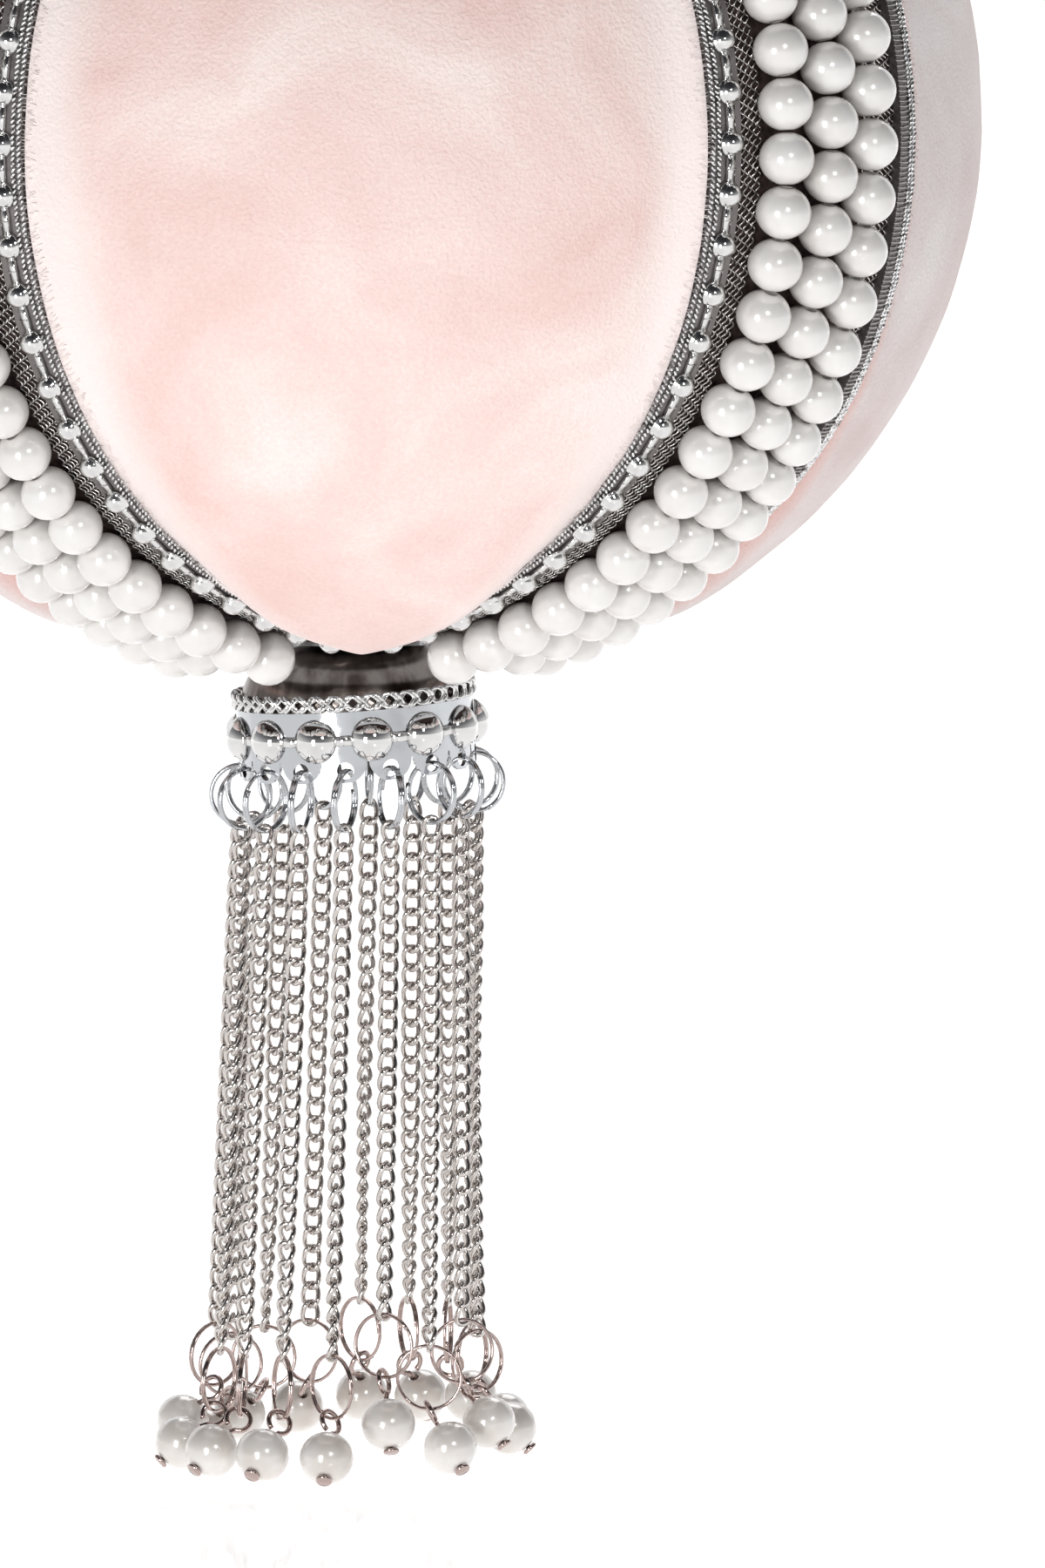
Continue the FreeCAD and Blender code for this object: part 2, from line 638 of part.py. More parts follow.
def lower_half(links):
    """The chain's envelope and the ring under it, for a chain of that many links."""
    bottom = strand_length(links)
    yaw = Rotation(Vector(0, 0, 1), size("drop_ring_yaw"))
    ring_place = Placement(Vector(0, 0, size("drop_ring_radius") - bottom), yaw * upright)
    ring = torus(f"ring_{links}", "drop_ring_radius", "drop_wire_radius", ring_place)
    chain_end = bottom - 2 * size("drop_ring_radius") - size("drop_wire_radius") - size("seam_gap")
    chain = bind(doc.addObject("Part::Cylinder", f"curb_{links}"), Radius="sizes.curb_radius")
    chain.Height = chain_end - size("chain_start")
    chain.Placement = Placement(Vector(0, 0, -chain_end), Rotation())
    return [chain, ring]


lower_halves = {links: lower_half(links) for links in sorted(set(LINK_COUNTS))}

loop_yaw = Rotation(Vector(0, 0, 1), size("eye_yaw"))
loop_place = Placement(Vector(0, 0, -size("eye_offset")), loop_yaw * crosswise)
loop = torus("loop", "eye_radius", "loop_wire_radius", loop_place)
shank = cylinder(
    "shank",
    "sizes.pin_radius",
    "sizes.pin_length - sizes.eye_offset - sizes.eye_radius",
    "-sizes.pin_length",
)
head = cylinder("head", "sizes.pin_head_radius", "sizes.pin_head_thickness", "-sizes.pin_length")
pin = fuse("pin", [loop, shank, head])
drop_pearl = doc.addObject("Part::Feature", "drop_pearl")
drop_pearl.Shape = pearl
drop_pearl.Placement = Placement(Vector(0, 0, -size("drop_pearl_offset")), Rotation())

hole_radius = (size("band_radius") + size("band_inside_radius")) / 2
hang_points = []
drop_points = []
swing_axes = []
flare = Placement(Vector(), Rotation(Vector(0, 1, 0), -size("strand_flare")))
tassel_lean = Rotation(Vector(0, 1, 0), size("tassel_lean"))
for number, (links, tilt) in enumerate(zip(LINK_COUNTS, DROP_TILTS)):
    azimuth = size("first_tab_azimuth") + 360 / TAB_COUNT * number
    hole = (cap_frame * turned(azimuth, hole_radius, 0, size("tab_hole_height"))).Base
    facing = tassel_lean * turned(azimuth).Rotation
    strand_frame = Placement(hole, facing) * flare
    drop_at = (strand_frame * Placement(Vector(0, 0, -strand_length(links)), Rotation())).Base
    lean = Placement(Vector(), Rotation(Vector(0, 1, 0), -tilt))
    drop_frame = Placement(drop_at, facing) * lean
    hang_points.append(hole)
    drop_points.append(drop_at)
    swing_axes.append(facing.multVec(Vector(0, -1, 0)))
    strand = group(f"strand_{number}", [top_ring] + lower_halves[links])
    finish(strand, f"chain_{number + 1:02d}", strand_frame)
    drop = group(f"drop_{number}", [pin, drop_pearl])
    finish(drop, f"pearl_drop_{number + 1:02d}", drop_frame)

# Check and write

doc.recompute()
for item in doc.Objects:
    if "Invalid" in item.State or "Error" in item.State:
        raise RuntimeError(f"{item.Label} did not compute: {item.State}")
os.makedirs("parts", exist_ok=True)
for item in nodes:
    if item.Shape.isNull() or not item.Shape.isValid() or not item.Shape.Solids:
        raise RuntimeError(f"{item.Label} has no valid solid")
    item.Shape.exportStep(f"parts/{item.Label}.step")
print(len(nodes), "nodes")
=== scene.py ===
import json
import math
import random

import bpy
from mathutils import Matrix, Vector, noise


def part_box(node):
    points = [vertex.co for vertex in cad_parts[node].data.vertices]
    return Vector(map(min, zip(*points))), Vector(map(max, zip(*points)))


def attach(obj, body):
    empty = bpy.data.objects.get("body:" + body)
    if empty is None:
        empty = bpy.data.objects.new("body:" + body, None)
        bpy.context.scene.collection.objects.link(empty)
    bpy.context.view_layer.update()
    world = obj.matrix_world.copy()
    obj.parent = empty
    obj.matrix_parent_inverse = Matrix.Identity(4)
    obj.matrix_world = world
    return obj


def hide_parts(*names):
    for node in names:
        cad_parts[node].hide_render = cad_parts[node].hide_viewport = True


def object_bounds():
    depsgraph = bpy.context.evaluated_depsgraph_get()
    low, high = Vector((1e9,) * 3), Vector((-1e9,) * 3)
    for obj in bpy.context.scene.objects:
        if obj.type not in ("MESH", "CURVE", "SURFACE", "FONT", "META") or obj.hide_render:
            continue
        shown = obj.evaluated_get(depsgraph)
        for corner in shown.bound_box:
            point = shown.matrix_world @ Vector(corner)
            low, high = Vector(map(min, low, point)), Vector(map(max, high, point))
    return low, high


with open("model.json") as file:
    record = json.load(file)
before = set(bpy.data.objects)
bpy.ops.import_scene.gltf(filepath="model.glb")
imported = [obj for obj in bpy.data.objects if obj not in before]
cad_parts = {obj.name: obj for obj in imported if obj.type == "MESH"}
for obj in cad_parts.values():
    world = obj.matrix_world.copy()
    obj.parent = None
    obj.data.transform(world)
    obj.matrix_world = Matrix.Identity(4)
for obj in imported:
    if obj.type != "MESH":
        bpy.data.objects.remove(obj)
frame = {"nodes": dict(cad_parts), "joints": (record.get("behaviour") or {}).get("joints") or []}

cad_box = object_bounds()

# Studio. A white sweep, faintly lit from within, carries the tips of the tassel. A soft box stands to the left
# of the camera, a smaller one higher on the right and a large one behind. The air is white near the floor and
# dim overhead and behind the camera.

MM = 0.001


def linear(code):
    """An sRGB hex colour as linear red, green, blue and alpha."""
    channels = [int(code[start : start + 2], 16) / 255 for start in (1, 3, 5)]
    return tuple(c / 12.92 if c <= 0.04045 else ((c + 0.055) / 1.055) ** 2.4 for c in channels) + (1.0,)


def add_node(tree, kind, inputs=None, links=None, **settings):
    """Adds a node with its settings, its sockets' values and its links."""
    node = tree.nodes.new(kind)
    for name, value in settings.items():
        setattr(node, name, value)
    for name, value in (inputs or {}).items():
        node.inputs[name].default_value = value
    for name, source in (links or {}).items():
        tree.links.new(source, node.inputs[name])
    return node


def new_material(name, values):
    """A material whose shader has these values. Returns it with its node tree and its shader."""
    material = bpy.data.materials.new(name)
    material.use_nodes = True
    shader = material.node_tree.nodes["Principled BSDF"]
    for socket, value in values.items():
        shader.inputs[socket].default_value = value
    return material, material.node_tree, shader


def colour_steps(tree, source, steps):
    """Colours, given as (place, hex) pairs, along a texture's values."""
    ramp = add_node(tree, "ShaderNodeValToRGB", links={"Fac": source})
    stops = ramp.color_ramp.elements
    while len(stops) < len(steps):
        stops.new(0.5)
    for stop, (place, code) in zip(stops, steps):
        stop.position = place
        stop.color = linear(code)
    return ramp.outputs["Color"]


def relief(tree, shader, source, depth, strength=1.0):
    """A bump of that depth in metres on the shader's surface."""
    sockets = {"Strength": strength, "Distance": depth}
    bump = add_node(tree, "ShaderNodeBump", sockets, {"Height": source})
    tree.links.new(bump.outputs["Normal"], shader.inputs["Normal"])


scene = bpy.context.scene
scene.view_settings.view_transform = "Standard"
floor_height = cad_box[0].z - 0.2 * MM
camera_place = Vector((-23.6 * MM, -1500 * MM, -9.4 * MM))
camera_aim = Vector((18.3 * MM, 0, -163.8 * MM))
camera_data = bpy.data.cameras.new("camera")
camera_data.sensor_fit = "VERTICAL"
camera_data.sensor_height = 36
camera_data.lens = 311
camera = bpy.data.objects.new("camera", camera_data)
camera.location = camera_place
camera.rotation_euler = (camera_aim - camera_place).to_track_quat("-Z", "Y").to_euler()
scene.collection.objects.link(camera)
scene.camera = camera

world = bpy.data.worlds.new("studio_air")
world.use_nodes = True
scene.world = world
air = world.node_tree
direction = add_node(air, "ShaderNodeTexCoord")
height = add_node(air, "ShaderNodeSeparateXYZ", links={"Vector": direction.outputs["Generated"]})
AIR_STEPS = ((0.0, "#ffffff"), (0.12, "#e8e9ea"), (0.3, "#a9aaad"), (0.6, "#5c5d60"), (1.0, "#333437"))
air_colour = colour_steps(air, height.outputs["Z"], AIR_STEPS)
air.links.new(air_colour, air.nodes["Background"].inputs["Color"])
FRONT_DIMMING = {"From Min": -1.0, "From Max": 0.1, "To Min": 0.26, "To Max": 0.8}
strength = add_node(air, "ShaderNodeMapRange", FRONT_DIMMING, {"Value": height.outputs["Y"]})
air.links.new(strength.outputs["Result"], air.nodes["Background"].inputs["Strength"])


def soft_box(name, azimuth, elevation, distance, width, power):
    """A square light that faces the tassel's top from that azimuth, from the front towards +X."""
    light = bpy.data.lights.new(name, "AREA")
    light.size = width
    light.energy = power
    lamp = bpy.data.objects.new(name, light)
    turn = Matrix.Rotation(math.radians(azimuth), 4, "Z")
    facing = turn @ Matrix.Rotation(math.radians(-elevation), 4, "X")
    target = Vector((0, 0, -140 * MM))
    lamp.location = target + facing @ Vector((0, -distance, 0))
    lamp.rotation_euler = (target - lamp.location).to_track_quat("-Z", "Y").to_euler()
    scene.collection.objects.link(lamp)


soft_box("soft_box_left", -26, 2, 1.4, 0.3, 6.2)
soft_box("soft_box_right", 18, 19, 1.4, 0.2, 3.4)
soft_box("soft_box_back", 165, 50, 1.6, 0.8, 6.0)


def sweep(width, front, back, rise, bend):
    """A floor that turns up into a wall behind the object through a round bend."""
    line = [(-front, 0.0), (back - bend, 0.0)]
    for step in range(1, 13):
        turn = math.radians(90 * step / 12)
        line.append((back - bend + bend * math.sin(turn), bend - bend * math.cos(turn)))
    line.append((back, rise))
    vertices = [(side * width / 2, y, floor_height + z) for y, z in line for side in (-1, 1)]
    faces = [(2 * i, 2 * i + 1, 2 * i + 3, 2 * i + 2) for i in range(len(line) - 1)]
    mesh = bpy.data.meshes.new("white_sweep")
    mesh.from_pydata(vertices, [], faces)
    mesh.shade_smooth()
    return bpy.data.objects.new("white_sweep", mesh)


lacquered_board, board_tree, board_shader = new_material(
    "lacquered_white_board",
    {
        "Base Color": linear("#fbfbfb"),
        "Roughness": 0.06,
        "IOR": 1.22,
        "Emission Color": linear("#ffffff"),
        "Emission Strength": 0.62,
    },
)
board_place = add_node(board_tree, "ShaderNodeTexCoord")
board_links = {"Vector": board_place.outputs["Object"]}
board_grain = add_node(board_tree, "ShaderNodeTexNoise", {"Scale": 30.0}, board_links)
relief(board_tree, board_shader, board_grain.outputs["Fac"], 0.05 * MM, 0.2)
board = sweep(12.0, 3.0, 4.0, 4.0, 1.5)
board.data.materials.append(lacquered_board)
scene.collection.objects.link(board)

# Foam core, tie rod, nut and plates. The core is a moulded light foam ball with a bore. A threaded steel rod
# runs through it and clamps a pressed plate, silver-plated, at each pole.


def dress(node, material):
    """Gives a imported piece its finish."""
    piece = frame["nodes"][node]
    for index in range(len(piece.data.materials)):
        piece.data.materials[index] = material
    if not piece.data.materials:
        piece.data.materials.append(material)


def surface_place(tree):
    return add_node(tree, "ShaderNodeTexCoord").outputs["Object"]


def moulded_foam():
    """Expanded polystyrene: dull white beads about 3 mm across, pressed flat against the mould."""
    material, tree, shader = new_material("moulded_foam", {"Roughness": 0.8, "Specular IOR Level": 0.3})
    beads = add_node(tree, "ShaderNodeTexVoronoi", {"Scale": 330.0}, {"Vector": surface_place(tree)})
    colour = colour_steps(tree, beads.outputs["Distance"], ((0.0, "#f3f3f0"), (0.8, "#dcdcd8")))
    tree.links.new(colour, shader.inputs["Base Color"])
    relief(tree, shader, beads.outputs["Distance"], 0.3 * MM)
    return material


def zinc_steel():
    """Zinc-plated steel: cool grey and slightly cloudy, drawn lengthwise."""
    values = {"Metallic": 1.0, "Base Color": linear("#b9bcc0")}
    material, tree, shader = new_material("zinc_plated_steel", values)
    place = surface_place(tree)
    clouds = add_node(tree, "ShaderNodeTexNoise", {"Scale": 700.0, "Detail": 4.0}, {"Vector": place})
    span = {"To Min": 0.25, "To Max": 0.45}
    gloss = add_node(tree, "ShaderNodeMapRange", span, {"Value": clouds.outputs["Fac"]})
    tree.links.new(gloss.outputs["Result"], shader.inputs["Roughness"])
    return material


def silver_plate(name, code, low, high, dents):
    """Bright plate on stamped or drawn metal: a mirror with faint dents and wear that dulls it in patches."""
    material, tree, shader = new_material(name, {"Metallic": 1.0, "Base Color": linear(code)})
    place = surface_place(tree)
    wear = add_node(tree, "ShaderNodeTexNoise", {"Scale": 450.0, "Detail": 5.0}, {"Vector": place})
    span = {"From Min": 0.35, "From Max": 0.7, "To Min": low, "To Max": high}
    gloss = add_node(tree, "ShaderNodeMapRange", span, {"Value": wear.outputs["Fac"]})
    tree.links.new(gloss.outputs["Result"], shader.inputs["Roughness"])
    waves = add_node(tree, "ShaderNodeTexNoise", {"Scale": 260.0, "Detail": 1.0}, {"Vector": place})
    relief(tree, shader, waves.outputs["Fac"], dents)
    return material


bright_plate = silver_plate("bright_silver_plate", "#c2c4c7", 0.05, 0.16, 0.05 * MM)
dress("foam_core", moulded_foam())
rod_steel = zinc_steel()
dress("tie_rod", rod_steel)
dress("rod_nut", rod_steel)
dress("top_plate", bright_plate)
dress("bottom_plate", bright_plate)

# Gores. Each is a lens of polyester wadding under a panel of crushed silk velvet, cut with a raw edge that is
# caught under the braids, puffed out between them and folded under at its tips, where it ends in a round.

core_low, core_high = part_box("foam_core")
ball_centre = (core_low + core_high) / 2
BAND_TURN = math.radians(43.7)
BAND_HALF_SPAN = 15.5 * MM
VELVET_HALF_WIDTH = 69.2 * MM
VELVET_HALF_HEIGHT = 64.5 * MM
FOLD_HEIGHT = 57.6 * MM
BRAID_HALF_WIDTH = 71.0 * MM
BRAID_HALF_HEIGHT = 59.2 * MM
LIP_WIDTH = 2.6 * MM


class Piece:
    """Collects the vertices and faces of one piece, with the number of each face's finish."""

    def __init__(self):
        self.vertices = []
        self.faces = []
        self.finishes = []

    def add(self, shape, place=None, finish=0):
        vertices, faces = shape
        start = len(self.vertices)
        self.vertices += [place @ vertex for vertex in vertices] if place else vertices
        self.faces += [tuple(start + corner for corner in face) for face in faces]
        self.finishes += [finish] * len(faces)

    def make(self, name, body, nodes, materials):
        mesh = bpy.data.meshes.new(name)
        mesh.from_pydata(self.vertices, [], self.faces)
        mesh.polygons.foreach_set("material_index", self.finishes)
        mesh.shade_smooth()
        for material in materials:
            mesh.materials.append(material)
        piece = bpy.data.objects.new(name, mesh)
        scene.collection.objects.link(piece)
        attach(piece, body)
        if nodes:
            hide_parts(*nodes)
        return piece


def outwards(azimuth):
    """The level direction at an azimuth, counted from the front towards +X."""
    return Vector((math.sin(azimuth), -math.cos(azimuth), 0))


def sideways(azimuth):
    return Vector((math.cos(azimuth), math.sin(azimuth), 0))


def smaller(first, second, blend):
    """The smaller of two lengths, with a round change from one to the other."""
    share = max(blend - abs(first - second), 0) / blend
    return min(first, second) - share**2 * blend / 4


def gore_shape(middle, half_turn, depth):
    """A closed lens between two bands' edges, that deep, whose edges curl to the level of the braids. Returns
    its vertices, its faces and each vertex's distance from the nearer edge."""
    rows, columns = 150, 56
    tip_radius = BAND_HALF_SPAN / math.sin(half_turn) + 0.4 * MM
    last = math.acos(tip_radius / VELVET_HALF_WIDTH)
    outer, inner, distances = [], [], []
    for row in range(rows + 1):
        lift = last * math.sin(math.pi * (row / rows - 0.5))
        radius = VELVET_HALF_WIDTH * math.cos(lift)
        height = abs(VELVET_HALF_HEIGHT * math.sin(lift))
        half = half_turn - math.asin(min(1, BAND_HALF_SPAN / radius))
        for column in range(columns + 1):
            across = math.sin(math.pi * (column / columns - 0.5))
            azimuth = middle + across * half
            edge_distance = (1 - abs(across)) * half * radius
            fold = FOLD_HEIGHT - 3.4 * MM * across**2
            level = math.copysign(smaller(height, fold, 3.5 * MM), lift)
            point = outwards(azimuth) * radius + Vector((0, 0, level))
            steep = point.z * (VELVET_HALF_WIDTH / VELVET_HALF_HEIGHT) ** 2
            normal = Vector((point.x, point.y, steep)).normalized()
            crush = noise.noise(point * 90) * 0.16 * MM + noise.noise(point * 260) * 0.1 * MM
            share = math.hypot(math.hypot(point.x, point.y) / BRAID_HALF_WIDTH, point.z / BRAID_HALF_HEIGHT)
            to_braid = max(min((1 / share - 1) * point.length, 2 * MM), -2.6 * MM)
            lip = to_braid * math.exp(-((edge_distance / LIP_WIDTH) ** 2))
            face = point + normal * (crush + lip)
            outer.append(ball_centre + face)
            inner.append(ball_centre + face - normal * depth)
            distances.append(edge_distance)
    width = columns + 1
    count = len(outer)
    faces = []
    for row in range(rows):
        for column in range(columns):
            first = row * width + column
            quad = (first, first + 1, first + width + 1, first + width)
            faces.append(quad)
            faces.append(tuple(count + corner for corner in reversed(quad)))
    rim = [column for column in range(columns)]
    rim += [row * width + columns for row in range(rows)]
    rim += [rows * width + column for column in range(columns, 0, -1)]
    rim += [row * width for row in range(rows, 0, -1)]
    for here, there in zip(rim, rim[1:] + rim[:1]):
        faces.append((there, here, here + count, there + count))
    return outer + inner, faces, distances * 2


def crushed_velvet(name, steps, edge_light_code, edge_width):
    """Silk velvet: a short soft pile that lies in patches, so its colour shifts over 10 to 30 mm, with a pale
    bloom where it is seen edge-on, a fine grain from the pile's tufts, about 0.4 mm apart, and a strip of
    another colour along the braids that is painted light, standing in for how the pile there catches the
    studio light."""
    values = {
        "Roughness": 0.95,
        "Specular IOR Level": 0.15,
        "Sheen Weight": 0.45,
        "Sheen Roughness": 0.35,
        "Sheen Tint": linear("#fff3f0"),
    }
    material, tree, shader = new_material(name, values)
    place = surface_place(tree)
    values = {"Scale": 42.0, "Detail": 5.0, "Distortion": 0.6}
    patches = add_node(tree, "ShaderNodeTexNoise", values, {"Vector": place})
    tufts = add_node(tree, "ShaderNodeTexNoise", {"Scale": 2400.0, "Detail": 2.0}, {"Vector": place})
    share = {"Factor": 0.22}
    both = {"A": patches.outputs["Fac"], "B": tufts.outputs["Fac"]}
    lay = add_node(tree, "ShaderNodeMix", share, both)
    colour = colour_steps(tree, lay.outputs["Result"], steps)
    edge = add_node(tree, "ShaderNodeAttribute", attribute_name="edge_distance")
    span = {"From Min": edge_width * 0.5, "From Max": edge_width * 1.6}
    inside = add_node(tree, "ShaderNodeMapRange", span, {"Value": edge.outputs["Fac"]})
    # Within the edge width of the braids, the velvet takes the edge colour. This strip is painted light.
    bent = {"Color1": linear(edge_light_code)}
    both = {"Fac": inside.outputs["Result"], "Color2": colour}
    mixed = add_node(tree, "ShaderNodeMixRGB", bent, both)
    tree.links.new(mixed.outputs["Color"], shader.inputs["Base Color"])
    rub = add_node(tree, "ShaderNodeTexNoise", {"Scale": 160.0, "Detail": 3.0}, {"Vector": place})
    both = {"A": tufts.outputs["Fac"], "B": rub.outputs["Fac"]}
    depth = add_node(tree, "ShaderNodeMix", {"Factor": 0.5}, both)
    relief(tree, shader, depth.outputs["Result"], 0.45 * MM, 0.7)
    return material


def polyester_wadding():
    """Bonded polyester fibre: white, matt and faintly clumped."""
    material, tree, shader = new_material("polyester_wadding", {"Roughness": 1.0, "Sheen Weight": 0.4})
    place = surface_place(tree)
    clumps = add_node(tree, "ShaderNodeTexNoise", {"Scale": 300.0, "Detail": 6.0}, {"Vector": place})
    colour = colour_steps(tree, clumps.outputs["Fac"], ((0.3, "#e6e6e4"), (0.7, "#f8f8f6")))
    tree.links.new(colour, shader.inputs["Base Color"])
    relief(tree, shader, clumps.outputs["Fac"], 0.6 * MM)
    return material


FRONT_STEPS = ((0.36, "#ebcbc4"), (0.5, "#f2d9d3"), (0.64, "#f8e8e4"))
# The side gores' steps are greyer than the front ones. This is painted sheen: the grey-white that their pile
# shows at a grazing angle is painted into its colour.
SIDE_PAINTED_SHEEN_STEPS = ((0.36, "#dccbc9"), (0.5, "#e6dad8"), (0.64, "#efe9e8"))
# Both edge colours are painted light. On the front and back gores, a paler painted sheen runs along the
# braids. On the side gores, the strip is the pinker tone that the face-on pile shows beside the braids.
blush_velvet = crushed_velvet("blush_crushed_velvet", FRONT_STEPS, "#f6e9e6", 4.5 * MM)
# The side gores' velvet is this greyer copy, and its colour carries painted sheen.
sheen_painted_velvet = crushed_velvet("crushed_velvet_painted_sheen", SIDE_PAINTED_SHEEN_STEPS, "#e6bdb6", 2.8 * MM)
wadding = polyester_wadding()
GORES = {
    "front": (0.0, BAND_TURN, blush_velvet),
    "right": (math.pi / 2, math.pi / 2 - BAND_TURN, sheen_painted_velvet),
    "back": (math.pi, BAND_TURN, blush_velvet),
    "left": (-math.pi / 2, math.pi / 2 - BAND_TURN, sheen_painted_velvet),
}
for side, (middle, half_turn, cloth) in GORES.items():
    panel = Piece()
    vertices, faces, distances = gore_shape(middle, half_turn, 0.7 * MM)
    panel.add((vertices, faces))
    velvet = panel.make(f"velvet_panel_{side}", "root", [f"velvet_gore_{side}"], [cloth])
    edge = velvet.data.attributes.new("edge_distance", "FLOAT", "POINT")
    edge.data.foreach_set("value", distances)
for side, (middle, half_turn, cloth) in GORES.items():
    stuffing = Piece()
    lens, faces, distances = gore_shape(middle, half_turn, 1.0 * MM)
    half = len(lens) // 2
    backs = [ball_centre + (point - ball_centre) * 0.955 for point in lens[half:]]
    fronts = [ball_centre + (point - ball_centre) * 0.9985 for point in lens[half:]]
    stuffing.add((fronts + backs, faces))
    pad = stuffing.make(f"wadding_lens_{side}", "root", ["wadding_pads"], [wadding])

# Raw edges of the velvet. The pile frays along each cut edge into a pale fringe about a millimetre long, and
# that stands up beside the braid. It is drawn as fine blades, coarser than real threads so that they show.

random.seed(7)
FRINGE_SEAT = (70.9 * MM, 59.4 * MM)
FRAY_END = 34 * MM


def band_point(azimuth, offset, half_width, half_height, lift):
    """A point on a flattened ball's surface on the line parallel to the meridian at azimuth, with the normal
    there and the direction along the line, upwards."""
    width = math.sqrt(half_width**2 - offset**2)
    tall = width * half_height / half_width
    out, side = outwards(azimuth), sideways(azimuth)
    up = Vector((0, 0, 1))
    spot = ball_centre + out * (width * math.cos(lift)) + side * offset + up * (tall * math.sin(lift))
    along = (-out * (width * math.sin(lift)) + up * (tall * math.cos(lift))).normalized()
    normal = side.cross(along).normalized()
    if normal.dot(spot - ball_centre) < 0:
        normal.negate()
    return spot, normal, along


def band_stations(azimuth, offset, half_width, half_height, end_radius, pitch, phase=0.5):
    """Stations every pitch along such a line, from pole to pole, as (point, normal, along)."""
    width = math.sqrt(half_width**2 - offset**2)
    tall = width * half_height / half_width
    last = math.acos(math.sqrt(end_radius**2 - offset**2) / width)
    step = math.radians(0.02)
    stations = []
    travelled = pitch * (1 - phase)
    lift = -last
    while lift < last:
        if travelled >= pitch:
            travelled -= pitch
            stations.append(band_point(azimuth, offset, half_width, half_height, lift))
        travelled += step * math.hypot(width * math.sin(lift), tall * math.cos(lift))
        lift += step
    return stations


def blade(root, tip, bow, width):
    """A thin three-sided spike that bows out between its root and its tip."""
    along = (tip - root).normalized()
    side = along.orthogonal().normalized()
    other = along.cross(side)
    middle = (root + tip) / 2 + bow
    vertices = []
    for centre, size in ((root, width), (middle, width * 0.7)):
        for turn in (0, 2 * math.pi / 3, 4 * math.pi / 3):
            vertices.append(centre + (side * math.cos(turn) + other * math.sin(turn)) * size)
    vertices.append(tip)
    faces = [(2, 1, 0)]
    for corner in range(3):
        after = (corner + 1) % 3
        faces.append((corner, after, 3 + after, 3 + corner))
        faces.append((3 + corner, 3 + after, 6))
    return vertices, faces


pale_pile, pile_tree, pile_shader = new_material(
    "blush_velvet_cut_pile", {"Base Color": linear("#fbf1ee"), "Roughness": 0.9, "Sheen Weight": 0.8}
)
BANDS = {
    "front_right": (BAND_TURN, 1),
    "back_right": (math.pi - BAND_TURN, -1),
    "back_left": (math.pi + BAND_TURN, 1),
    "front_left": (-BAND_TURN, -1),
}
for side, (azimuth, outward) in BANDS.items():
    fringe = Piece()
    for edge in (-outward, outward):
        offset = edge * (BAND_HALF_SPAN + 0.5 * MM)
        inward = -sideways(azimuth) * edge
        for spot, normal, along in band_stations(azimuth, offset, *FRINGE_SEAT, FRAY_END, 0.17 * MM):
            reach = random.uniform(0.5, 1.15) * MM
            sway = along * random.uniform(-0.5, 0.5) * MM
            root = spot - normal * 0.5 * MM - inward * random.uniform(0, 1.0) * MM
            tip = root + normal * (0.6 * MM + reach * random.uniform(0.5, 1)) + inward * reach * 0.5 + sway
            fringe.add(blade(root, tip, normal * 0.1 * MM, 0.06 * MM))
    fringe.make(f"velvet_fringe_{side}", "root", [], [pale_pile])

# Mesh ribbons. Under the pearls lies a ribbon of knitted silver wire over a dark brown net, seen beside the
# pearls as rows of small loops about a millimetre long.

RIBBON = (70.2 * MM, 58.4 * MM)


def tube(points, radius, sides=6, closed=False):
    """A round wire along points, with its ends closed or joined."""
    count = len(points)
    vertices, faces = [], []
    side = None
    for index, point in enumerate(points):
        before = points[index - 1] if closed or index else point
        after = points[(index + 1) % count] if closed or index < count - 1 else point
        along = (after - before).normalized()
        side = (along.orthogonal() if side is None else side - along * side.dot(along)).normalized()
        other = along.cross(side)
        for corner in range(sides):
            turn = 2 * math.pi * corner / sides
            vertices.append(point + (side * math.cos(turn) + other * math.sin(turn)) * radius)
    shift = 0
    if closed:
        first = vertices[0] - points[0]
        last = [vertices[(count - 1) * sides + corner] - points[-1] for corner in range(sides)]
        shift = max(range(sides), key=lambda corner: first.dot(last[corner]))
    for index in range(count if closed else count - 1):
        jump = shift if index == count - 1 else 0
        here, there = index * sides, (index + 1) % count * sides
        for corner in range(sides):
            after = (corner + 1) % sides
            near, far = here + (corner + jump) % sides, here + (after + jump) % sides
            faces.append((near, far, there + after, there + corner))
    if not closed:
        faces.append(tuple(range(sides - 1, -1, -1)))
        faces.append(tuple(range((count - 1) * sides, count * sides)))
    return vertices, faces


def brown_net():
    """Nylon net, dyed dark brown: dull, with open cells of about 1 mm."""
    material, tree, shader = new_material("dark_brown_net", {"Roughness": 0.85, "Specular IOR Level": 0.2})
    cells = add_node(tree, "ShaderNodeTexVoronoi", {"Scale": 1000.0}, {"Vector": surface_place(tree)})
    colour = colour_steps(tree, cells.outputs["Distance"], ((0.0, "#1d1615"), (0.9, "#4d3f3c")))
    tree.links.new(colour, shader.inputs["Base Color"])
    relief(tree, shader, cells.outputs["Distance"], 0.2 * MM)
    return material


def drawn_silver(name, code, roughness):
    """Silver-plated copper wire or yarn: bright along its top, broken up by crossing threads and tarnish."""
    values = {"Metallic": 1.0, "Roughness": roughness}
    material, tree, shader = new_material(name, values)
    place = surface_place(tree)
    tarnish = add_node(tree, "ShaderNodeTexNoise", {"Scale": 1800.0, "Detail": 3.0}, {"Vector": place})
    colour = colour_steps(tree, tarnish.outputs["Fac"], ((0.35, "#8d8886"), (0.52, code)))
    tree.links.new(colour, shader.inputs["Base Color"])
    relief(tree, shader, tarnish.outputs["Fac"], 0.04 * MM)
    return material


